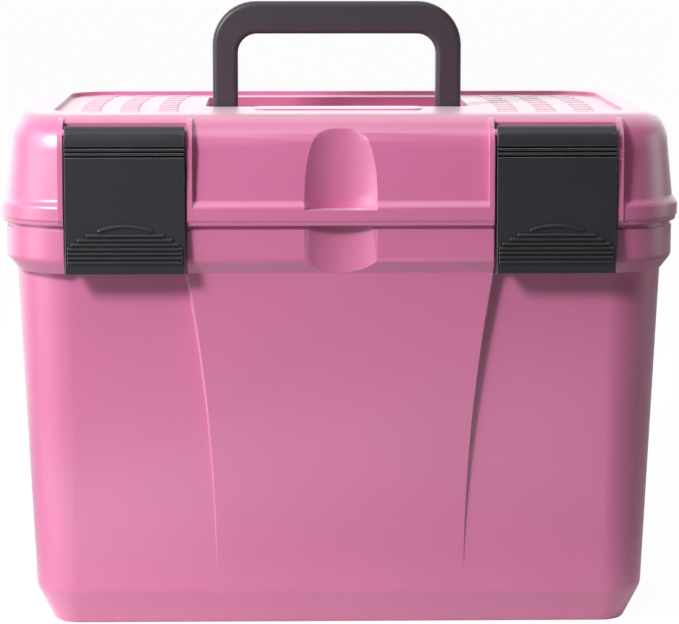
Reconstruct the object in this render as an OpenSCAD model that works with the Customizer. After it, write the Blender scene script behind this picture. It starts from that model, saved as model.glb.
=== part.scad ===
// Grooming box: a moulded tub with a hinged lid, a folding handle, two snap latches and a lift-out tray.
// Millimetres. The origin is the middle of the base, +Z is up and the front faces -Y.

/* [Rim and lid] */
// Width over the lid's rim
rim_w = 403; // [385:1:440]
// Depth over the lid's rim, hinges left out
rim_d = 270; // [260:1:310]
// Corner radius of the rim in plan
corner_r = 44; // [42:1:56]
// Height of the rim's bottom edge above the base
part_z = 244.4; // [225:0.1:280]
// Height of the upright rim band
rim_h = 10.9; // [9.5:0.1:13]
// Height of the bead along the rim's bottom edge
bead_h = 3; // [2:0.1:4]
// How far the bead lies in from the rim band
bead_in = 1; // [0.4:0.1:1.2]
// Width of the sloping ledge over the rim band
ledge_w = 3; // [2:0.1:3.5]
// Height of the lid from the rim's bottom edge to its top
lid_h = 63.5; // [61:0.1:75]
// How far the lid's walls lean in below the top rounding
lid_lean = 3; // [2:0.1:4]
// Height of the rounding round the lid's top
top_round_h = 20; // [17:0.5:22]
// How far the top rounding reaches in at the front and back
top_round_front = 22; // [20:0.5:26]
// How far the top rounding reaches in at the sides
top_round_side = 12; // [9:0.5:15]
// Wall thickness of the mouldings
wall = 2.6; // [2.2:0.1:3]

/* [Lid top] */
// Distance of the sunk panel from the rim's sides
panel_side = 30.5; // [22:0.5:40]
// Distance of the sunk panel from the rim's front and back
panel_end = 38; // [34:0.5:44]
// Corner radius of the sunk panel
panel_r = 26; // [12:1:30]
// How far the panel lies below the lid's top
panel_drop = 2.5; // [1.5:0.1:3]
// Distance of the outer tread column from the panel's sides
tread_side = 23.2; // [12:0.1:24]
// Step from one tread column to the next
tread_step_x = 23.5; // [20:0.1:30]
// Step from one tread rib to the next, front to back
tread_step_y = 20.5; // [18:0.1:21]
// Length of a tread rib, side to side
tread_len = 12; // [8:0.5:16]
// Width of a tread rib, front to back
tread_rib_w = 9.5; // [8:0.5:15]
// Height of a tread rib's crown
tread_h = 0.7; // [0.5:0.1:2]
// How far the tread columns bow outwards
tread_bow = 3.5; // [0:0.5:6]
// Width of the raised plate in front of the handle
plate_w = 102; // [80:1:120]
// Depth of the raised plate, front to back
plate_d = 25; // [15:1:30]
// Height of the raised plate
plate_h = 0.8; // [0.5:0.1:1.5]

/* [Tub] */
// How far the tub's edge stands up inside the rim
tongue_h = 4.6; // [3:0.1:5]
// Gap between the tub's edge and the lid's skirt
skirt_gap = 0.3; // [0.2:0.05:0.5]
// Upright height of the collar under the rim
collar_h = 21.3; // [18:0.1:28]
// Height of the slope under the collar
collar_slope_h = 7.7; // [6:0.1:10]
// How far the collar lies in from the rim
collar_in = 3.3; // [3:0.1:4]
// Height of the gap that shows under the rim
rim_gap = 3; // [2:0.1:4]
// Depth of that gap behind the collar's face
rim_gap_in = 1.2; // [0.6:0.1:1.4]
// How far the body's sides and back lie in from the rim, under the collar
body_in = 8.9; // [8.5:0.1:11]
// How far the body's front lies in from the rim, under the collar
front_in = 15.5; // [14:0.1:17]
// How much the sides and back draw in towards the base
draft_in = 9.1; // [4:0.1:12]
// How much the front draws in towards the base
front_draft_in = 6; // [3:0.5:10]
// Height of the slope round the base
base_slope_h = 20.5; // [12:0.5:28]
// How far the base slope draws in
base_slope_in = 9.8; // [5:0.1:12]
// Height and width of the bevel along the base's edge
base_edge = 1.2; // [0.8:0.1:4]
// Thickness of the tub's floor
floor_t = 3; // [2.4:0.1:4]
// Height of the tray's seat over the bottom of the collar
seat_rise = 10.4; // [9.5:0.1:14]

/* [Front panel and scoops] */
// How much each edge of the raised front panel draws in from the latch to where it fades out
panel_taper = 15.5; // [8:0.5:24]
// Height above the base at which the front panel fades out
panel_low_z = 36; // [25:1:60]
// Slope of the front panel's edges, run for each unit of rise
panel_edge_slope = 0.3; // [0.2:0.05:1]
// Half the width of the thumb scoops where they meet
scoop_half = 21.3; // [18:0.1:24]
// Radius of the soft edges of the scoops
scoop_edge_r = 1.4; // [1:0.1:4]
// How far the lid's scoop reaches in from the rim
lid_scoop_in = 11; // [10:0.1:12]
// Height of the lid scoop's floor over the rim's bottom edge
lid_scoop_rise = 9.2; // [8:0.1:9.4]

/* [Latches] */
// Distance of each latch's outer edge from the rim's side
latch_edge = 41.3; // [40:0.1:60]
// Width of a latch
latch_w = 69.4; // [60:0.1:72]
// Length of a latch, top to bottom
latch_len = 85.7; // [80:0.1:88]
// Depth of the latch's top below the lid's top
latch_drop = 5.7; // [5:0.1:8]
// How far a latch's plate stands proud of the rim
latch_proud = 1.5; // [0.5:0.1:2.5]
// Thickness of a latch's plate
latch_t = 2.8; // [2.2:0.1:3.4]
// How much further the pull edge stands out
latch_flare = 1.6; // [0:0.1:2.5]
// Gap at each side of a latch
latch_gap = 1.3; // [0.8:0.05:2]
// Radius of the pegs that a latch swings on
peg_r = 2.1; // [1.8:0.05:2.5]
// How far the pegs reach into a latch
peg_len = 5; // [3:0.5:8]
// Thickness of the cheeks beside a latch
cheek_t = 3.1; // [2:0.1:3.5]

/* [Handle] */
// Width over the handle's legs
handle_w = 154.5; // [140:0.5:164]
// Distance from the handle's pivot to the top of the grip
handle_len = 72.6; // [66:0.1:78]
// Thickness of the handle, front to back
handle_t = 14; // [11:0.5:15]
// Width of a leg
leg_w = 15.7; // [12:0.1:20]
// Height of the grip bar
grip_h = 20; // [16:0.5:22]
// Outer corner radius of the handle
handle_r = 27; // [20:0.5:30]
// Radius along the handle's edges
handle_edge_r = 3.2; // [1.5:0.1:4.5]
// Inner corner radius of the handle
handle_inner_r = 12; // [8:0.5:15]
// Radius of the pivot stubs
stub_r = 3; // [2.5:0.1:3.5]
// Distance of the pivot in front of the lid's middle
pivot_forward = 4; // [0:0.5:8]
// Gap between each leg and the side of its well
leg_gap = 4.5; // [3:0.5:6]
// Gap for fingers between the folded grip and the back of its well
finger_gap = 7.4; // [6:0.1:10]

/* [Hinges] */
// Distance of each hinge's middle from the rim's side
hinge_edge = 89.5; // [75:0.5:110]
// Radius of the hinge knuckles
knuckle_r = 4.4; // [4.2:0.1:4.8]
// Length of a lid knuckle
lid_knuckle_w = 26; // [16:1:34]
// Length of a tub knuckle
tub_knuckle_w = 16; // [10:1:24]
// Radius of the hinge pins
pin_r = 2; // [1.6:0.1:2.3]

/* [Tray] */
// Depth of the tray below its flange
tray_depth = 58; // [40:1:80]
// Thickness of the tray's walls
tray_t = 2.2; // [1.8:0.1:2.6]
// How much the tray draws in towards its floor
tray_draft = 3; // [2:0.5:5]
// Distance of the long divider behind the box's middle
divider_y = 18; // [0:1:40]
// Width of the hand hole in the long divider
hand_hole_w = 104; // [80:1:110]
// Height of the hand hole
hand_hole_h = 26; // [20:1:30]

/* [Hidden] */
pink = [0.79, 0.45, 0.61];
charcoal = [0.24, 0.23, 0.25];
plum_grey = [0.27, 0.24, 0.27];
steel = [0.6, 0.6, 0.62];

// Clearances, laps and overruns
overrun = 1;
lap = 0.3;
run_fit = 0.06;
pin_fit = 0.03;
close_gap = 0.6;
corner_steps = 9;
round_steps = 6;
soft_steps = 3;
panel_steps = 12;
$fn = 48;

// Heights
tub_top = part_z + tongue_h;
neck_z = part_z - collar_h - collar_slope_h;
seat_z = neck_z + seat_rise;
rim_top = part_z + rim_h;
ledge_z = rim_top + ledge_w;
lid_top = part_z + lid_h;
shoulder_z = lid_top - top_round_h;
panel_z = lid_top - panel_drop;
ceiling_z = panel_z - wall;

// Places across and along the box
front_y = -rim_d / 2;
back_y = rim_d / 2;
low_in = body_in + draft_in;
base_in = low_in + base_slope_in;
front_low_in = front_in + front_draft_in;
front_base_in = front_low_in + base_slope_in;
skirt_in = collar_in - skirt_gap;
lid_in = ledge_w;
shoulder_in = lid_in + lid_lean;
panel_step = front_in - body_in;
panel_w = rim_w - 2 * panel_side;
panel_d = rim_d - 2 * panel_end;
latch_x = rim_w / 2 - latch_edge - latch_w / 2;
bay_in = front_in - lap;
bay_w = latch_w + 2 * latch_gap;
pocket_in = bay_in - close_gap;
panel_top_half = latch_x - bay_w / 2;
panel_low_half = panel_top_half - panel_taper;

// Heights over which edges are rounded off, below and above
base_soft_share = 0.15;
collar_soft_share = 0.25;
ledge_soft_share = 0.4;
base_soft = base_soft_share * (base_slope_h - base_edge);
collar_soft = collar_soft_share * collar_slope_h;
ledge_soft = ledge_soft_share * ledge_w;
graze = 0.1;

// Powers of the lid scoop's outline: how late its sides draw in, and how blunt its crown is
scoop_side_power = 2.4;
scoop_crown_power = 4;

// Latch sizes, with places measured in from the rim's front face
latch_top = lid_top - latch_drop;
latch_low = latch_top - latch_len;
peg_in = 6;
peg_drop = 4.2;
brow_angle = 66;
peg_z = latch_top - peg_drop;
eye_r = 4.2;
crown_h = 12;
flare_h = 27;
latch_side_t = 2;
latch_side_in = 8.2;
hook_h = 3.4;
hook_rise = 2.2;
catch_gap = 0.6;
catch_h = 4;
catch_reach = 5.4;
catch_w = 44;
catch_in = bay_in - catch_reach;
groove_w = 1.4;
groove_depth = 1.2;
grip_rib_r = 1;
grip_rib_step = 2.6;
grip_rib_rise = 6.8;
grip_rib_out = 0.1;
grip_rib_shares = [0.96, 0.96, 0.96, 0.96, 0.9, 0.79, 0.65];
arch_rib_w = 31;
arch_rib_h = 2.9;
arch_rib_r = (pow(arch_rib_w / 2, 2) + pow(arch_rib_h, 2)) / (2 * arch_rib_h);

// Handle sizes
fold_gap = 0.7;
under_gap = 5;
front_gap = 3;
stub_len = 5;
stub_wall = 7;
boss_r = 6.4;
well_r = 8;
pivot_y = -pivot_forward;
pivot_z = panel_z - fold_gap - handle_t / 2;
handle_top = pivot_z + handle_len;
well_w = handle_w + 2 * leg_gap;
well_front = pivot_y - handle_t / 2 - front_gap;
well_back = pivot_y + handle_len + finger_gap;
well_z = pivot_z - handle_t / 2 - under_gap;
plate_gap = 6;
plate_r = 6;
tread_r = 3;
tread_dome_r = (pow(tread_rib_w / 2, 2) + pow(tread_h, 2)) / (2 * tread_h);
tread_rows = floor((panel_d / 2 - tread_rib_w / 2) / tread_step_y);
tread_columns = 1 + floor((panel_w / 2 - tread_side - tread_len - well_w / 2) / tread_step_x);

// Hinge places
hinge_x = rim_w / 2 - hinge_edge;
hinge_y = back_y + knuckle_r + lap;
hinge_z = part_z - bead_h;
knuckle_gap = 0.4;
bracket_h = 16;
arm_h = 7;
pin_len = lid_knuckle_w + 2 * (knuckle_gap + tub_knuckle_w);

// Tray places, measured in from the rim, and how much rounder its corners are than the box's
tray_flange_gap = 3.2;
tray_flange_w = 4.1;
tray_rounder = 7;
tray_front_gap = 1.2;
tray_front_flange_w = 2.6;
flange_in = collar_in + wall + tray_flange_gap;
flange_front_in = front_in + wall + tray_front_gap;
tray_in = flange_in + tray_flange_w;
tray_front_in = flange_front_in + tray_front_flange_w;
tray_z = seat_z - tray_depth;
divider_drop = 9;
divider_rise = 9;
divider_ramp = 22;
grip_web = 7;

// Points of an elliptic arc round a centre
function arc(c, rx, ry, from, to, steps) =
    [for (k = [0:steps]) let (a = from + (to - from) * k / steps) [c.x + rx * cos(a), c.y + ry * sin(a)]];

// A rounded rectangle at height z, set in from the rim by its own amount at the sides, front and back
function ring(z, side, front, back, rounder = 0) =
    let (r = corner_r - side + rounder,
         x = rim_w / 2 - side - r,
         yf = front_y + front + r,
         yb = back_y - back - r)
    [for (p = concat(arc([x, yb], r, r, 0, 90, corner_steps),
                     arc([-x, yb], r, r, 90, 180, corner_steps),
                     arc([-x, yf], r, r, 180, 270, corner_steps),
                     arc([x, yf], r, r, 270, 360, corner_steps)))
        [p.x, p.y, z]];

function even_ring(z, inset) = ring(z, inset, inset, inset);

// A knot of a profile: its height, its insets, and the height over which it is rounded off
function knot(z, inset, soft) = [z, inset, inset, inset, soft];

// The rings of a profile, with its soft knots rounded off
function soft_rings(knots) =
    [for (k = [0:len(knots) - 1])
        let (b = knots[k],
             a = knots[max(k - 1, 0)],
             c = knots[min(k + 1, len(knots) - 1)],
             soft = b[4],
             steps = soft == 0 ? 0 : soft_steps,
             from = steps == 0 ? b : b + (a - b) * soft / (b[0] - a[0]),
             to = steps == 0 ? b : b + (c - b) * soft / (c[0] - b[0]))
        for (j = [0:steps])
            let (t = steps == 0 ? 0 : j / steps,
                 p = from * pow(1 - t, 2) + b * 2 * t * (1 - t) + to * pow(t, 2))
            ring(p[0], p[1], p[2], p[3])];

// Set-in of the body's front and of the raised front panel at height z
function body_front(z) =
    front_in + front_draft_in * max(0, neck_z - z) / (neck_z - base_slope_h);
function panel_share(z) = (z - panel_low_z) / (neck_z - panel_low_z);
function panel_front(z) = body_front(z) - panel_step * panel_share(z);
function panel_half(z) =
    panel_low_half + (panel_top_half - panel_low_half) * pow(max(0, panel_share(z)), 2);

// A level slice of the raised front panel, drawn in by t on its face and edges
function panel_slice(z, t) =
    let (face = panel_front(z) + t,
         root = body_front(z) + wall / 2 + t,
         half = panel_half(z) - t,
         flank = half + panel_edge_slope * (root - face))
    [[-half, front_y + face, z], [half, front_y + face, z],
     [flank, front_y + root, z], [-flank, front_y + root, z]];

// Set-ins of the collar and of the lid's front as tables by height, the lid's from its ledge upwards
function collar_table() = [[neck_z, body_in], [neck_z + collar_slope_h, collar_in], [tub_top, collar_in]];
function lid_table() =
    concat([[rim_top, 0], [ledge_z, lid_in]],
           [for (k = [0:round_steps]) let (a = 90 * k / round_steps)
               [shoulder_z + top_round_h * sin(a), shoulder_in + top_round_front * (1 - cos(a))]]);

// Radius of a round hollow by its half width and its depth
function hollow_r(half, depth) = (pow(half, 2) + pow(depth, 2)) / (2 * depth);
function collar_scoop_r() = hollow_r(scoop_half, body_in - collar_in);
function lid_scoop_r() = hollow_r(scoop_half, lid_scoop_in - lid_in);

// Height of the lid scoop's crown, and its half width at height z
function scoop_top() = lookup(lid_scoop_in, [for (p = lid_table()) [p[1], p[0]]]);
function scoop_width(z) =
    let (climb = max(0, z - rim_top) / (scoop_top() - rim_top))
    scoop_half * pow(1 - pow(climb, scoop_side_power), 1 / scoop_crown_power);

// A level slice of a scoop into a wall: a round hollow with soft edges
function scoop_slice(z, wall_in, reach, r) =
    let (e = scoop_edge_r,
         yc = front_y + reach - r,
         yw = front_y + wall_in - graze,
         h = yw + e - yc,
         x = sqrt(pow(r + e, 2) - pow(h, 2)),
         a = atan2(h, x))
    [for (p = concat(arc([x, yw + e], e, e, 270, 180 + a, soft_steps),
                     arc([0, yc], r, r, a, 180 - a, panel_steps),
                     arc([-x, yw + e], e, e, -a, -90, soft_steps),
                     [[-x, front_y - overrun], [x, front_y - overrun]]))
        [p.x, p.y, z]];

// Set-in of a latch's front face at height z, and the outlines of two bars, with round ends and corners
function latch_front(z) = -latch_proud - latch_flare * max(0, latch_low + flare_h - z) / flare_h;
function stadium(w, h, steps) =
    concat(arc([w / 2 - h / 2, 0], h / 2, h / 2, -90, 90, steps),
           arc([h / 2 - w / 2, 0], h / 2, h / 2, 90, 270, steps));
function rounded_rect(w, d, r, steps) =
    concat(arc([w / 2 - r, d / 2 - r], r, r, 0, 90, steps),
           arc([r - w / 2, d / 2 - r], r, r, 90, 180, steps),
           arc([r - w / 2, r - d / 2], r, r, 180, 270, steps),
           arc([w / 2 - r, r - d / 2], r, r, 270, 360, steps));

// A solid through a list of rings, each with the same number of points
module loft(rings) {
    n = len(rings[0]);
    last = len(rings) - 1;
    polyhedron(
        points = [for (r = rings) each r],
        faces = concat(
            [[for (k = [0:n - 1]) k]],
            [for (j = [0:last - 1], k = [0:n - 1])
                let (a = j * n + k, b = j * n + (k + 1) % n)
                each [[a, a + n, b + n], [a, b + n, b]]],
            [[for (k = [n - 1:-1:0]) last * n + k]]));
}

// Extrusion along X of an outline drawn in Y and Z, and along Y of one drawn in X and Z
module along_x(w) { rotate([90, 0, 90]) linear_extrude(w, center = true) children(); }
module along_y(d) { rotate([90, 0, 0]) linear_extrude(d, center = true) children(); }
module rod_x(r, w) { rotate([0, 90, 0]) cylinder(r = r, h = w, center = true); }

// A block from one corner to the opposite one
module span(low, high) { translate(low) cube(high - low); }

// A copy at each side of the box
module both_sides() {
    children();
    mirror([1, 0, 0]) children();
}

module rounded_plate(w, d, r, h) {
    linear_extrude(h) polygon(rounded_rect(w, d, r, round_steps));
}

// A rounded well between two Y places, from a floor upwards
module well(w, y0, y1, r, z, h) {
    translate([0, (y0 + y1) / 2, z]) rounded_plate(w, y1 - y0, r, h);
}

// The upright round wall behind a scoop of radius r that is as deep as reach at its middle
module scoop_back(reach, r, z0, z1) {
    translate([0, front_y + reach - r, z0]) cylinder(r = r + wall, h = z1 - z0, $fn = 96);
}

// The space of a latch, wider by t at each side, from the rim's face to a depth
module latch_space(t, depth, z0, z1) {
    both_sides()
        span([latch_x - bay_w / 2 - t, front_y - overrun, z0],
             [latch_x + bay_w / 2 + t, front_y + depth, z1]);
}

// The raised front panel between two heights, drawn in by t
module panel_loft(from, to, t) {
    loft([for (k = [0:panel_steps]) panel_slice(from + (to - from) * k / panel_steps, t)]);
}

// Tub: drafted body, collar, raised front panel, latch bays with catches, and hinge knuckles
module tub_outside() {
    loft(soft_rings([[0, base_in + base_edge, front_base_in + base_edge, base_in + base_edge, 0],
                     [base_edge, base_in, front_base_in, base_in, base_edge / 2],
                     [base_slope_h, low_in, front_low_in, low_in, base_soft],
                     [neck_z, body_in, front_in, body_in, 0],
                     [seat_z, body_in, front_in, body_in, 0]]));
    loft(soft_rings([knot(neck_z, body_in + lap, 0),
                     knot(neck_z + collar_slope_h, collar_in, collar_soft),
                     knot(part_z - rim_gap, collar_in, 0),
                     knot(part_z - rim_gap + lap, collar_in + rim_gap_in, 0),
                     knot(part_z - lap, collar_in + rim_gap_in, 0),
                     knot(part_z, collar_in, 0),
                     knot(tub_top, collar_in, 0)]));
    panel_loft(panel_low_z - panel_step, neck_z + collar_slope_h / 2, 0);
}

module tub_inside() {
    loft([ring(floor_t, base_in + wall, front_base_in + wall, base_in + wall),
          ring(base_slope_h + floor_t, low_in + wall, front_low_in + wall, low_in + wall),
          ring(neck_z, body_in + wall, front_in + wall, body_in + wall),
          ring(seat_z + overrun, body_in + wall, front_in + wall, body_in + wall)]);
    panel_loft(panel_low_z, seat_z + overrun, wall);
    difference() {
        loft([even_ring(seat_z, collar_in + wall), even_ring(tub_top + overrun, collar_in + wall)]);
        latch_space(wall, bay_in + wall, seat_z - overrun, tub_top + 2 * overrun);
        scoop_back(body_in, collar_scoop_r(), seat_z - overrun, tub_top + 2 * overrun);
    }
}

module collar_scoop() {
    heights = concat([for (k = [0:round_steps]) neck_z + collar_slope_h * k / round_steps],
                     [tub_top + overrun]);
    loft([for (z = heights) scoop_slice(z, lookup(z, collar_table()), body_in, collar_scoop_r())]);
}

module latch_catch() {
    along_x(catch_w)
        polygon([[front_y + bay_in + lap, latch_low + hook_rise + hook_h],
                 [front_y + catch_in, latch_low + hook_rise + hook_h + catch_h / 2],
                 [front_y + catch_in, latch_low + hook_rise + hook_h + catch_h],
                 [front_y + bay_in + lap, latch_low + hook_rise + hook_h + 2 * catch_h]]);
}

module tub_knuckle() {
    difference() {
        union() {
            translate([0, hinge_y, hinge_z]) rod_x(knuckle_r, tub_knuckle_w);
            along_x(tub_knuckle_w)
                polygon([[back_y - collar_in - wall / 2, hinge_z],
                         [hinge_y, hinge_z],
                         [hinge_y, hinge_z - knuckle_r / 2],
                         [back_y - collar_in - wall / 2, hinge_z - bracket_h]]);
        }
        translate([0, hinge_y, hinge_z]) rod_x(pin_r + pin_fit, tub_knuckle_w + overrun);
    }
}

module tub() color(pink) {
    difference() {
        tub_outside();
        tub_inside();
        latch_space(0, bay_in, neck_z - lap, tub_top + overrun);
        collar_scoop();
    }
    both_sides() translate([latch_x, 0, 0]) latch_catch();
    both_sides() for (side = [-1, 1])
        translate([hinge_x + side * (lid_knuckle_w / 2 + knuckle_gap + tub_knuckle_w / 2), 0, 0])
            tub_knuckle();
}

// Lid: skirt and rim, rounded top with a sunk panel, handle well, latch pockets and thumb scoop
module lid_outside() {
    loft(soft_rings([knot(part_z, bead_in + skirt_gap, 0),
                     knot(part_z + bead_in, bead_in, 0),
                     knot(part_z + bead_h - bead_in, bead_in, 0),
                     knot(part_z + bead_h, 0, bead_in / 2),
                     knot(rim_top, 0, ledge_soft),
                     knot(ledge_z, lid_in, ledge_soft),
                     for (k = [0:round_steps])
                         let (a = 90 * k / round_steps,
                              in_front = shoulder_in + top_round_front * (1 - cos(a)))
                         [shoulder_z + top_round_h * sin(a),
                          shoulder_in + top_round_side * (1 - cos(a)), in_front, in_front, 0]]));
}

module lid_scoop() {
    steps = 2 * round_steps;
    heights = concat([part_z + lid_scoop_rise, rim_top],
                     [for (k = [0:round_steps - 1]) ledge_z + (shoulder_z - ledge_z) * k / round_steps],
                     [for (k = [0:steps - 1])
                         shoulder_z + (scoop_top() - shoulder_z) * sin(90 * k / steps)]);
    loft([for (z = heights)
        let (wall_in = lookup(z, lid_table()))
        scoop_slice(z, wall_in, lid_scoop_in, hollow_r(scoop_width(z), lid_scoop_in - wall_in))]);
}

module lid_inside() {
    step = lid_in + wall - skirt_in;
    skirt_z = tub_top + close_gap;
    inner_h = ceiling_z - shoulder_z;
    difference() {
        loft([even_ring(part_z - overrun, skirt_in),
              even_ring(skirt_z, skirt_in),
              even_ring(skirt_z + step, skirt_in + step),
              for (k = [0:round_steps])
                  let (a = 90 * k / round_steps,
                       in_front = shoulder_in + wall + top_round_front * (1 - cos(a)))
                  ring(shoulder_z + inner_h * sin(a),
                       shoulder_in + wall + top_round_side * (1 - cos(a)), in_front, in_front)]);
        latch_space(wall, pocket_in + wall, tub_top + close_gap, lid_top);
        scoop_back(lid_scoop_in, lid_scoop_r(), tub_top + close_gap, lid_top);
        well(well_w + 2 * wall, well_front - wall, well_back + wall, well_r + wall,
             well_z - wall, lid_top - well_z);
        both_sides()
            translate([well_w / 2 + stub_wall / 2, pivot_y, pivot_z]) rod_x(boss_r, stub_wall);
    }
}

// Thin upright cheeks that guard the sides of the latches and carry their pegs
module cheeks() {
    top_in = shoulder_in + top_round_front * (1 - cos(brow_angle));
    top_z = shoulder_z + top_round_h * sin(brow_angle) - lap;
    brow_in = lid_lean / 2;
    for (side = [-1, 1]) both_sides()
        translate([latch_x + side * (bay_w / 2 + cheek_t / 2), 0, 0])
            along_x(cheek_t)
                polygon(concat([[front_y + top_in, shoulder_z],
                                [front_y + lid_in + wall / 2, ledge_z],
                                [front_y + skirt_in / 2, part_z + bead_in],
                                [front_y, part_z + bead_h],
                                [front_y, rim_top]],
                               arc([front_y + top_in, shoulder_z], top_in - brow_in,
                                   top_z - shoulder_z, 180, 90, 2 * round_steps)));
}

module tread_ribs() {
    for (column = [0:tread_columns - 1], row = [-tread_rows:tread_rows])
        both_sides()
            translate([panel_w / 2 - tread_side - column * tread_step_x
                           + tread_bow * (1 - pow(row / tread_rows, 2)),
                       row * tread_step_y, panel_z])
                intersection() {
                    translate([0, 0, -lap])
                        linear_extrude(tread_h + overrun)
                            polygon(rounded_rect(tread_len, tread_rib_w, tread_r, soft_steps));
                    translate([0, 0, tread_h - tread_dome_r]) rod_x(tread_dome_r, tread_len + overrun);
                }
}

module lid_knuckle() {
    difference() {
        union() {
            translate([0, hinge_y, hinge_z]) rod_x(knuckle_r, lid_knuckle_w);
            along_x(lid_knuckle_w)
                polygon([[back_y - bead_in - lap, part_z + bead_in],
                         [hinge_y - knuckle_r / 2, hinge_z],
                         [hinge_y + knuckle_r / 2, hinge_z],
                         [hinge_y + knuckle_r / 2, part_z + bead_h],
                         [back_y - bead_in - lap, part_z + bead_h + arm_h]]);
        }
        translate([0, hinge_y, hinge_z]) rod_x(pin_r + run_fit, lid_knuckle_w + overrun);
    }
}

module lid() color(pink) {
    difference() {
        union() {
            lid_outside();
            cheeks();
        }
        lid_inside();
        well(panel_w, -panel_d / 2, panel_d / 2, panel_r, panel_z, panel_drop + overrun);
        well(well_w, well_front, well_back, well_r, well_z, lid_top);
        latch_space(0, pocket_in, part_z - overrun, lid_top + overrun);
        lid_scoop();
        both_sides()
            translate([well_w / 2, pivot_y, pivot_z]) rod_x(stub_r + run_fit, 2 * (stub_len + close_gap));
    }
    tread_ribs();
    well(plate_w, well_front - plate_gap - plate_d, well_front - plate_gap, plate_r,
         panel_z - lap, plate_h + lap);
    for (side = [-1, 1]) both_sides()
        translate([latch_x + side * (bay_w / 2 - (latch_gap + peg_len) / 2 + lap / 2),
                   front_y + peg_in, peg_z])
            rod_x(peg_r, latch_gap + peg_len + lap);
    both_sides() translate([hinge_x, 0, 0]) lid_knuckle();
}

// Handle: one bail with rounded shoulders, whose stubs turn in the sides of the lid's well
function bail_section(outer, inner) =
    let (l = norm(outer - inner),
         e = (outer - inner) / l,
         m = (outer + inner) / 2)
    [for (p = rounded_rect(l, handle_t, handle_edge_r, soft_steps))
        [m.x + e.x * p.x, pivot_y - p.y, m.y + e.y * p.x]];

module bail() {
    half = handle_w / 2;
    inner = half - leg_w;
    grip_low = handle_top - grip_h;
    steps = 2 * round_steps;
    outer_line = concat([[-half, pivot_z]],
                        arc([handle_r - half, handle_top - handle_r], handle_r, handle_r, 180, 90, steps),
                        arc([half - handle_r, handle_top - handle_r], handle_r, handle_r, 90, 0, steps),
                        [[half, pivot_z]]);
    inner_line = concat([[-inner, pivot_z]],
                        arc([handle_inner_r - inner, grip_low - handle_inner_r],
                            handle_inner_r, handle_inner_r, 180, 90, steps),
                        arc([inner - handle_inner_r, grip_low - handle_inner_r],
                            handle_inner_r, handle_inner_r, 90, 0, steps),
                        [[inner, pivot_z]]);
    loft([for (k = [0:len(outer_line) - 1]) bail_section(outer_line[k], inner_line[k])]);
}

module handle() color(plum_grey) {
    bail();
    both_sides() {
        translate([handle_w / 2 - leg_w / 2, pivot_y, pivot_z]) rod_x(handle_t / 2 - lap, leg_w - 2 * lap);
        translate([(handle_w + leg_gap + stub_len - lap) / 2, pivot_y, pivot_z])
            rod_x(stub_r, leg_gap + stub_len + lap);
    }
}

// Latch: a crowned plate with an eye at its top, grip ribs at its foot and a hook behind
module latch_plate() {
    crown_z = latch_top - crown_h;
    flare_z = latch_low + flare_h;
    along_x(latch_w)
        polygon(concat(arc([front_y + peg_in, crown_z], peg_in + latch_proud, crown_h,
                           90, 180, 2 * round_steps),
                       [[front_y - latch_proud, flare_z],
                        [front_y + latch_front(latch_low), latch_low],
                        [front_y + latch_front(latch_low) + latch_t, latch_low],
                        [front_y - latch_proud + latch_t, flare_z],
                        [front_y - latch_proud + latch_t, crown_z],
                        [front_y + peg_in, peg_z]]));
    translate([0, front_y + peg_in, peg_z]) rod_x(eye_r, latch_w);
}

module latch_sides() {
    for (side = [-1, 1])
        translate([side * (latch_w - latch_side_t) / 2, 0, 0])
            along_x(latch_side_t)
                polygon([[front_y + latch_front(latch_low) + latch_t / 2, latch_low],
                         [front_y + latch_side_in, latch_low + hook_rise + hook_h],
                         [front_y + peg_in + eye_r / 2, peg_z],
                         [front_y, peg_z]]);
}

module latch_hook() {
    along_x(catch_w)
        polygon([[front_y + latch_front(latch_low) + latch_t / 2, latch_low + hook_rise],
                 [front_y + catch_in - catch_gap, latch_low + hook_rise + hook_h / 2],
                 [front_y + catch_in - catch_gap, latch_low + hook_rise + hook_h],
                 [front_y, latch_low + hook_rise + hook_h]]);
}

module grip_ribs() {
    rib_count = len(grip_rib_shares);
    for (k = [0:rib_count - 1])
        let (z = latch_low + grip_rib_rise + k * grip_rib_step)
        translate([0, front_y + latch_front(z) + grip_rib_out, z])
            rod_x(grip_rib_r, latch_w * grip_rib_shares[k]);
    arch_z = latch_low + grip_rib_rise + rib_count * grip_rib_step + arch_rib_h;
    half_angle = asin(arch_rib_w / 2 / arch_rib_r);
    translate([0, front_y - latch_proud + grip_rib_out, arch_z - arch_rib_r])
        rotate([90, 0, 0])
            rotate([0, 0, 90 - half_angle])
                rotate_extrude(angle = 2 * half_angle, $fn = 192)
                    translate([arch_rib_r, 0]) circle(r = grip_rib_r, $fn = 24);
}

module latch() color(charcoal) {
    difference() {
        union() {
            latch_plate();
            latch_sides();
            latch_hook();
            grip_ribs();
        }
        for (side = [-1, 1])
            translate([side * latch_w / 2, front_y + peg_in, peg_z])
                rod_x(peg_r + run_fit, 2 * (peg_len + close_gap));
        for (k = [0:2])
            translate([0, front_y - latch_proud, latch_top - crown_h - k * grip_rib_step])
                cube([latch_w + overrun, 2 * groove_depth, groove_w], center = true);
    }
}

module latch_left() translate([-latch_x, 0, 0]) latch();
module latch_right() translate([latch_x, 0, 0]) latch();

// Hinge pins, held by the tub's knuckles
module hinge_pin() color(steel) translate([0, hinge_y, hinge_z]) rod_x(pin_r, pin_len);
module hinge_pin_left() translate([-hinge_x, 0, 0]) hinge_pin();
module hinge_pin_right() translate([hinge_x, 0, 0]) hinge_pin();

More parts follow.
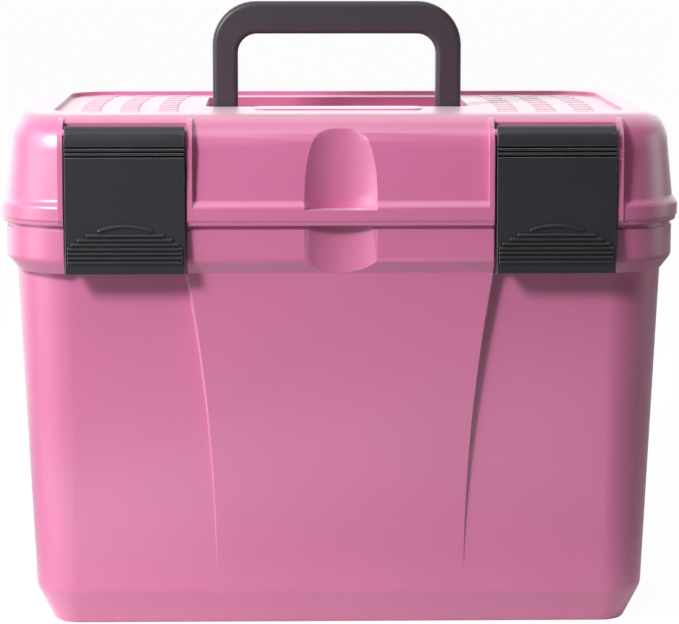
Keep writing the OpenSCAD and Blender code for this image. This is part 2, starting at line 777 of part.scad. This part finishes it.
// Lift-out tray: its flange rests on the ledge inside the collar
module tray_shell() {
    inner_in = tray_in + tray_t;
    inner_front_in = tray_front_in + tray_t;
    knots = [[tray_z, tray_in + tray_draft, tray_front_in + tray_draft],
             [seat_z, tray_in, tray_front_in],
             [seat_z, flange_in, flange_front_in],
             [seat_z + tray_t, flange_in, flange_front_in],
             [seat_z + tray_t, inner_in, inner_front_in],
             [tray_z + tray_t, inner_in + tray_draft, inner_front_in + tray_draft]];
    loft([for (k = knots) ring(k[0], k[1], k[2], k[1], tray_rounder)]);
}

module long_divider() {
    top_half = rim_w / 2 - tray_in - tray_t / 2;
    low_half = top_half - tray_draft;
    low_z = tray_z + tray_t / 2;
    shelf_z = seat_z - divider_drop;
    crest_z = seat_z + divider_rise;
    crest_half = hand_hole_w / 2 + grip_web;
    translate([0, divider_y, 0])
        along_y(tray_t)
            difference() {
                polygon([[-low_half, low_z], [low_half, low_z], [top_half, shelf_z],
                         [crest_half + divider_ramp, shelf_z], [crest_half, crest_z],
                         [-crest_half, crest_z], [-crest_half - divider_ramp, shelf_z],
                         [-top_half, shelf_z]]);
                translate([0, crest_z - grip_web - hand_hole_h / 2])
                    polygon(stadium(hand_hole_w, hand_hole_h, 2 * round_steps));
            }
}

module cross_divider() {
    top_y = back_y - tray_in - tray_t / 2;
    low_z = tray_z + tray_t / 2;
    along_x(tray_t)
        polygon([[divider_y, low_z], [top_y - tray_draft, low_z],
                 [top_y, seat_z - divider_drop], [divider_y, seat_z - divider_drop - hand_hole_h]]);
}

module tray() color(plum_grey) {
    tray_shell();
    long_divider();
    cross_divider();
}

tub();
lid();
handle();
latch_left();
latch_right();
hinge_pin_left();
hinge_pin_right();
tray();
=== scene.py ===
from math import radians

import bmesh
import bpy
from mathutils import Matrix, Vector


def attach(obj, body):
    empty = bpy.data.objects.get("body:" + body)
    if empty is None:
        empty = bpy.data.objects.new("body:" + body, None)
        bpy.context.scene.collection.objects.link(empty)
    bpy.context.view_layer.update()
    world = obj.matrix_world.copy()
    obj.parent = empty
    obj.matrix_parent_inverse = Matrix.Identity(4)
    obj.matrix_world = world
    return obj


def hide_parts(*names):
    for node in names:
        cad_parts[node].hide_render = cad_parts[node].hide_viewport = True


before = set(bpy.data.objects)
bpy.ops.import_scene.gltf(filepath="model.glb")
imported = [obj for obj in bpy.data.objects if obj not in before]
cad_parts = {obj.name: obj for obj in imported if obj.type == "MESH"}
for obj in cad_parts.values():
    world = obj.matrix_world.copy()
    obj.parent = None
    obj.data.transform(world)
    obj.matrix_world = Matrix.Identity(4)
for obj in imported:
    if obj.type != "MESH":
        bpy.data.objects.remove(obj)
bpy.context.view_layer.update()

print("frame loaded:", ", ".join(sorted(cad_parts)))


# Shader tools: a socket that does sums, and a bench that adds nodes to one tree

class Socket:
    def __init__(self, bench, end):
        self.bench, self.end = bench, end

    def __add__(self, other): return self.bench.maths("ADD", self, other)
    def __radd__(self, other): return self.bench.maths("ADD", other, self)
    def __sub__(self, other): return self.bench.maths("SUBTRACT", self, other)
    def __rsub__(self, other): return self.bench.maths("SUBTRACT", other, self)
    def __mul__(self, other): return self.bench.maths("MULTIPLY", self, other)
    def __rmul__(self, other): return self.bench.maths("MULTIPLY", other, self)

    def atMost(self, limit): return self.bench.maths("MINIMUM", self, limit)
    def atLeast(self, limit): return self.bench.maths("MAXIMUM", self, limit)


class Bench:
    def __init__(self, tree):
        self.tree = tree
        tree.nodes.clear()

    # settings come first, because some of them change the sockets
    def node(self, kind, settings=None, sockets=None, out=0):
        made = self.tree.nodes.new("ShaderNode" + kind)
        for key, value in (settings or {}).items():
            if key == "stops":
                setStops(made.color_ramp, value)
            else:
                setattr(made, key, value)
        for key, value in (sockets or {}).items():
            if isinstance(value, Socket):
                self.tree.links.new(value.end, made.inputs[key])
            else:
                made.inputs[key].default_value = value
        return Socket(self, made.outputs[out]) if len(made.outputs) else made

    def maths(self, operation, *values):
        return self.node("Math", {"operation": operation}, dict(enumerate(values)))

    def mixColour(self, factor, first, second):
        return self.node("Mix", {"data_type": "RGBA"}, {0: factor, 6: first, 7: second}, out=2)

    def noise(self, coords, scale, detail, roughness=0.5):
        sockets = {"Vector": coords, "Scale": scale, "Detail": detail, "Roughness": roughness}
        return self.node("TexNoise", None, sockets)


def setStops(ramp, stops):
    while len(ramp.elements) < len(stops):
        ramp.elements.new(0.5)
    for element, (place, shade) in zip(ramp.elements, stops):
        element.position = place
        element.color = (shade, shade, shade, 1)


# A screen colour, 0 to 255, as the linear colour that a shader takes
def paint(red, green, blue):
    shares = [channel / 255 for channel in (red, green, blue)]
    linear = [((s + 0.055) / 1.055) ** 2.4 if s > 0.04045 else s / 12.92 for s in shares]
    return (*linear, 1)


def newFinish(name):
    material = bpy.data.materials.new(name)
    material.use_nodes = True
    return material, Bench(material.node_tree)


# What every finish shares: how finely edges and grooves are felt, and a noise's middle value
feel = {"edgeSamples": 6, "grooveSamples": 8, "noiseMiddle": 0.5}


# Coordinates that stay with the piece, a normal with softened edges, and a mask of those edges
def surface(bench, settings):
    coords = bench.node("TexCoord", out="Object")
    soft = bench.node("Bevel", {"samples": feel["edgeSamples"]}, {"Radius": settings["edgeRadius"]})
    flat = bench.node("NewGeometry", out="Normal")
    across = bench.node("VectorMath", {"operation": "DOT_PRODUCT"},
                        {0: soft, 1: flat}, out="Value")
    edges = ((1 - across) * settings["edgeGain"]).atMost(1.0).atLeast(0.0)
    return coords, soft, edges


# How a moulded skin is built up: slow drift, two sizes of grain, and scuffs in patches
mouldSkin = {
    "driftDetail": 3.0, "grainDetail": 2.0, "coarseStep": 0.31,
    "fineShare": 0.6, "coarseShare": 0.4,
    "scuffDetail": 6.0, "scuffBreak": 0.68, "scuffStops": [(0.56, 0), (0.74, 1)],
}


# A moulded plastic: grain in the bump, drifting colour and gloss, edges paled partly by wear and
# partly by painted highlight
def mouldedPlastic(name, settings):
    material, bench = newFinish(name)
    coords, soft, edges = surface(bench, settings)

    drift = bench.noise(coords, settings["driftScale"], mouldSkin["driftDetail"])
    fine = bench.noise(coords, settings["grainScale"], mouldSkin["grainDetail"])
    coarse = bench.noise(coords, settings["grainScale"] * mouldSkin["coarseStep"],
                         mouldSkin["grainDetail"])
    patches = bench.noise(coords, settings["scuffScale"],
                          mouldSkin["scuffDetail"], mouldSkin["scuffBreak"])
    scuffs = bench.node("ValToRGB", {"stops": mouldSkin["scuffStops"]}, {"Fac": patches})

    colour = bench.mixColour(drift, settings["deepColour"], settings["colour"])
    # painted highlight: edges mixed towards a paler colour, partly standing for wear
    colour = bench.mixColour(edges * settings["edgeWearAndHighlightShare"], colour, settings["edgeWearAndHighlightColour"])
    # painted shade: grooves and gaps darkened towards a near-black colour by ambient occlusion
    if "grooveShadeGain" in settings:  # darker grooves
        openness = bench.node("AmbientOcclusion",
                              {"samples": feel["grooveSamples"], "only_local": True},
                              {"Distance": settings["grooveShadeReach"]}, out="AO")
        paintedGrooveShade = ((1 - openness) * settings["grooveShadeGain"]).atMost(1.0)
        colour = bench.mixColour(paintedGrooveShade, colour, settings["grooveShadeColour"])
    gloss = settings["roughness"] + (drift - feel["noiseMiddle"]) * settings["roughDrift"] \
        + scuffs * settings["scuffRough"] + edges * settings["edgeRough"]
    height = fine * mouldSkin["fineShare"] + coarse * mouldSkin["coarseShare"]
    normal = bench.node("Bump", None, {"Strength": settings["grainStrength"],
                                       "Distance": settings["grainHeight"],
                                       "Height": height, "Normal": soft})
    shader = bench.node("BsdfPrincipled", None, {
        "Base Color": colour, "Roughness": gloss, "Normal": normal,
        "IOR": settings["ior"], "Coat Weight": settings["coat"],
        "Coat Roughness": settings["coatRoughness"], "Coat IOR": settings["coatIor"],
        "Sheen Weight": settings["sheen"], "Sheen Roughness": settings["sheenRoughness"]})
    bench.node("OutputMaterial", None, {"Surface": shader})
    return material


# Drawn steel: fine scratches that run along the rod
def drawnSteel(name, settings):
    material, bench = newFinish(name)
    coords, soft, edges = surface(bench, settings)
    along = bench.node("Mapping", None, {"Vector": coords, "Scale": settings["lineScale"]})
    lines = bench.noise(along, 1.0, settings["lineDetail"], settings["lineBreak"])
    tarnish = bench.noise(coords, settings["tarnishScale"], settings["tarnishDetail"])
    colour = bench.mixColour(tarnish, settings["dullColour"], settings["colour"])
    gloss = settings["roughness"] + (lines - feel["noiseMiddle"]) * settings["lineRough"] \
        + edges * settings["edgeRough"]
    normal = bench.node("Bump", None, {"Strength": settings["lineStrength"],
                                       "Distance": settings["lineHeight"],
                                       "Height": lines, "Normal": soft})
    shader = bench.node("BsdfPrincipled", None, {
        "Base Color": colour, "Metallic": 1.0, "Roughness": gloss, "Normal": normal})
    bench.node("OutputMaterial", None, {"Surface": shader})
    return material


# Meshes: a clean copy of a CAD node, with flat faces kept flat and crisp edges kept crisp

def cleanCopy(node, settings):
    mesh = bmesh.new()
    mesh.from_mesh(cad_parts[node].data)
    bmesh.ops.remove_doubles(mesh, verts=mesh.verts, dist=settings["weld"])
    bmesh.ops.dissolve_limit(mesh, angle_limit=radians(settings["flatAngle"]),
                             verts=mesh.verts, edges=mesh.edges)
    for face in mesh.faces:
        face.smooth = True
    crisp = radians(settings["crispAngle"])
    for edge in mesh.edges:
        edge.smooth = len(edge.link_faces) == 2 and edge.calc_face_angle() < crisp
    return mesh


def addPiece(name, node, body, settings, finish):
    mesh = cleanCopy(node, settings)
    data = bpy.data.meshes.new(name)
    mesh.to_mesh(data)
    mesh.free()
    piece = bpy.data.objects.new(name, data)
    bpy.context.scene.collection.objects.link(piece)
    data.materials.append(finish)
    normals = piece.modifiers.new("evenFaces", "WEIGHTED_NORMAL")
    normals.keep_sharp = True
    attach(piece, body)
    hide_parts(node)
    print(f"{name}: {len(data.polygons)} faces on {body}")


# Box mouldings: the tub and its lid, in satin-gloss pink
boxMoulding = {
    "colour": paint(219, 117, 165), "deepColour": paint(215, 111, 160),
    # pale edge colour: painted highlight along the edges and creases, partly wear
    "edgeWearAndHighlightColour": paint(240, 176, 208), "edgeWearAndHighlightShare": 0.55, "edgeGain": 3.0, "edgeRadius": 0.0005,
    "edgeRough": 0.05, "roughness": 0.36, "roughDrift": 0.02, "driftScale": 14.0,
    "scuffScale": 60.0, "scuffRough": 0.015, "grainScale": 1900.0, "grainStrength": 0.04,
    "grainHeight": 0.00012, "ior": 1.5, "coat": 1.0, "coatRoughness": 0.36, "coatIor": 1.8,
    "sheen": 0.6, "sheenRoughness": 0.4,
    "weld": 1e-6, "flatAngle": 0.3, "crispAngle": 30,
}
pinkPlastic = mouldedPlastic("satinPinkPlastic", boxMoulding)
for node in ("tub", "lid"):
    addPiece(f"{node}_moulding", node, node, boxMoulding, pinkPlastic)


# Carrying handle: a rounded bail in plum-grey
carryHandle = {
    "colour": paint(69, 62, 69), "deepColour": paint(64, 57, 64),
    "edgeWearAndHighlightColour": paint(104, 96, 104), "edgeWearAndHighlightShare": 0.3, "edgeGain": 3.0, "edgeRadius": 0.0008,
    "edgeRough": 0.05, "roughness": 0.42, "roughDrift": 0.08, "driftScale": 30.0,
    "scuffScale": 90.0, "scuffRough": 0.015, "grainScale": 2400.0, "grainStrength": 0.16,
    "grainHeight": 0.00012, "ior": 1.5, "coat": 0.0, "coatRoughness": 0.1, "coatIor": 1.5,
    "sheen": 0.0, "sheenRoughness": 0.4,
    "weld": 1e-6, "flatAngle": 0.3, "crispAngle": 32,
}
plumPlastic = mouldedPlastic("satinPlumPlastic", carryHandle)
addPiece("handle_bail", "handle", "handle", carryHandle, plumPlastic)


# Snap latches: a fine-grained charcoal plastic
snapLatch = {
    "colour": paint(53, 52, 57), "deepColour": paint(48, 47, 52),
    # pale edge colour: painted highlight on the ribs and edges, partly wear
    "edgeWearAndHighlightColour": paint(185, 185, 190), "edgeWearAndHighlightShare": 0.85, "edgeGain": 4.0, "edgeRadius": 0.00045,
    # near-black groove colour: painted shade in the grooves and gaps
    "grooveShadeColour": paint(10, 9, 11), "grooveShadeGain": 2.4, "grooveShadeReach": 0.002,
    "edgeRough": 0.02, "roughness": 0.34, "roughDrift": 0.04, "driftScale": 40.0,
    "scuffScale": 110.0, "scuffRough": 0.015, "grainScale": 3200.0, "grainStrength": 0.3,
    "grainHeight": 0.00014, "ior": 1.45, "coat": 0.0, "coatRoughness": 0.1, "coatIor": 1.5,
    "sheen": 0.0, "sheenRoughness": 0.4,
    "weld": 1e-6, "flatAngle": 0.3, "crispAngle": 30,
}
charcoalPlastic = mouldedPlastic("grainedCharcoalPlastic", snapLatch)
for side in ("left", "right"):
    node = f"latch_{side}"
    addPiece(f"{node}_clip", node, node, snapLatch, charcoalPlastic)


# Lift-out tray: the handle's plastic, a little duller
liftOutTray = {**carryHandle, "roughness": 0.48, "grainStrength": 0.2}
trayPlastic = mouldedPlastic("dullPlumPlastic", liftOutTray)
addPiece("tray_moulding", "tray", "tray", liftOutTray, trayPlastic)


# Hinge pins: short drawn rods
hingePin = {
    "colour": paint(190, 190, 194), "dullColour": paint(160, 160, 163),
    "tarnishScale": 90.0, "tarnishDetail": 3.0,
    "edgeRadius": 0.0003, "edgeGain": 2.0, "edgeRough": 0.1, "roughness": 0.34,
    "lineScale": (20.0, 2600.0, 2600.0), "lineDetail": 4.0, "lineBreak": 0.6,
    "lineRough": 0.2, "lineStrength": 0.2, "lineHeight": 0.00005,
    "weld": 1e-6, "flatAngle": 0.1, "crispAngle": 30,
}
pinSteel = drawnSteel("drawnPinSteel", hingePin)
for side in ("left", "right"):
    node = f"hinge_pin_{side}"
    addPiece(f"{node}_rod", node, "tub", hingePin, pinSteel)


# Studio: a pale floor, a surround that is white behind and dim in front, and softboxes
studio = {
    "floorSize": 60.0, "floorColour": paint(130, 129, 130), "floorSeen": paint(235, 235, 236),
    "floorWhite": 0.93, "floorGlow": 1.03, "whiteAlong": (0.25, -0.1), "whiteBehind": (0.2, 0.6),
    "sheetColour": paint(226, 225, 226), "sheetHalf": (0.17, 0.1), "sheetReach": 0.14,
    "dimFront": 0.0, "whiteBack": 1.0, "backAxis": (0.0, 0.88, 0.47),
    "turnStart": 0.3, "turnEnd": 0.85,
    "boxes": {
        "key": {"place": (-1.0, -1.16, 1.07), "aim": (0, -0.1, 0.2),
                "size": (0.36, 0.36), "power": 25.0},
        "leftPanel": {"place": (-0.75, -0.35, 0.45), "aim": (-0.15, -0.1, 0.2),
                      "size": (0.5, 0.8), "power": 2.6},
        "sideBack": {"place": (-1.0, 0.7, 0.5), "aim": (-0.1, 0, 0.3),
                     "size": (1.0, 0.9), "power": 2.9},
        "overhead": {"place": (0.0, 0.1, 1.5), "aim": (0, 0, 0.28),
                     "size": (1.3, 0.9), "power": 1.0},
        "overFront": {"place": (0.0, -0.6, 1.4), "aim": (0, -0.05, 0.28),
                      "size": (1.0, 0.5), "power": 3.2},
        "backdrop": {"place": (0.0, 2.2, 0.6), "aim": (0, 0, 0.3),
                     "size": (3.2, 1.1), "power": 7.0},
        "right": {"place": (1.4, 0.1, 0.45), "aim": (0.15, 0, 0.2),
                  "size": (0.7, 0.7), "power": 2.4},
        "lowStrip": {"place": (-0.1, -0.3, 0.03), "aim": (0, -0.1, 0.03),
                     "size": (0.9, 0.06), "power": 0.15},
    },
}
white = (1, 1, 1, 1)


# A soft step from 0 to 1 between two values, which may also fall
def softStep(bench, value, start, full):
    return bench.node("MapRange", {"interpolation_type": "SMOOTHSTEP"},
                      {"Value": value, "From Min": start, "From Max": full})


def makeFloor():
    half = studio["floorSize"] / 2
    data = bpy.data.meshes.new("floor")
    corners = [(-half, -half, 0), (half, -half, 0), (half, half, 0), (-half, half, 0)]
    data.from_pydata(corners, [], [(0, 1, 2, 3)])
    floor = bpy.data.objects.new("floor", data)
    bpy.context.scene.collection.objects.link(floor)

    # the camera meets white everywhere, gloss and clear things only behind the box
    material, bench = newFinish("paleFloor")
    place = bench.node("NewGeometry", out="Position")
    along, back = [bench.node("SeparateXYZ", None, {"Vector": place}, out=axis) for axis in "XY"]
    towardsLeft = softStep(bench, along, *studio["whiteAlong"])
    behind = softStep(bench, back, *studio["whiteBehind"]) * towardsLeft
    cameraRays, glossRays, clearRays = [bench.node("LightPath", out=f"Is {kind} Ray")
                                        for kind in ("Camera", "Glossy", "Transmission")]
    seen = (cameraRays + (glossRays + clearRays) * behind).atMost(1.0)

    # a white sheet under the box throws light up at its foot
    past = [(bench.maths("ABSOLUTE", way) - limit).atLeast(0.0)
            for way, limit in zip((along, back), studio["sheetHalf"])]
    away = bench.maths("SQRT", past[0] * past[0] + past[1] * past[1])
    sheet = (1 - away * (1 / studio["sheetReach"])).atLeast(0.0)
    bounce = bench.mixColour(sheet, studio["floorColour"], studio["sheetColour"])
    colour = bench.mixColour(seen, bounce, studio["floorSeen"])
    pale = bench.node("BsdfDiffuse", None, {"Color": colour})
    glow = bench.node("Emission", None, {"Color": white, "Strength": studio["floorGlow"]})
    mixed = bench.node("MixShader", None, {0: seen * studio["floorWhite"], 1: pale, 2: glow})
    bench.node("OutputMaterial", None, {"Surface": mixed})
    data.materials.append(material)


def makeSurround():
    world = bpy.data.worlds.new("whiteSurround")
    world.use_nodes = True
    bpy.context.scene.world = world
    bench = Bench(world.node_tree)
    way = bench.node("TexCoord", out="Generated")
    towards = bench.node("VectorMath", {"operation": "DOT_PRODUCT"},
                         {0: way, 1: studio["backAxis"]}, out="Value")
    turn = softStep(bench, towards, studio["turnStart"], studio["turnEnd"])
    light = studio["dimFront"] + turn * (studio["whiteBack"] - studio["dimFront"])
    strength = light.atLeast(bench.node("LightPath", out="Is Camera Ray"))
    glow = bench.node("Background", None, {"Color": white, "Strength": strength})
    bench.node("OutputWorld", None, {"Surface": glow})


def makeSoftbox(name, box):
    data = bpy.data.lights.new(name, "AREA")
    data.shape = "RECTANGLE"
    data.size, data.size_y = box["size"]
    data.energy = box["power"]
    lamp = bpy.data.objects.new(name, data)
    lamp.location = box["place"]
    lamp.visible_camera = False
    towards = Vector(box["aim"]) - Vector(box["place"])
    lamp.rotation_euler = towards.to_track_quat("-Z", "Y").to_euler()
    bpy.context.scene.collection.objects.link(lamp)


makeFloor()
makeSurround()
for name, box in studio["boxes"].items():
    makeSoftbox(name, box)
print("studio lit")


# Camera: a long lens a little above the lid, turned slightly to the right
cameraRig = {
    "place": (-0.0334, -1.735, 0.4251), "down": 8.223, "right": 1.163,
    "lens": 146.76, "sensor": 36.0,
}
cameraData = bpy.data.cameras.new("camera")
cameraData.lens, cameraData.sensor_width = cameraRig["lens"], cameraRig["sensor"]
camera = bpy.data.objects.new("camera", cameraData)
camera.location = cameraRig["place"]
camera.rotation_euler = (radians(90 - cameraRig["down"]), 0, radians(-cameraRig["right"]))
bpy.context.scene.collection.objects.link(camera)
bpy.context.scene.camera = camera
bpy.context.scene.view_settings.view_transform = "Standard"
print("camera placed")
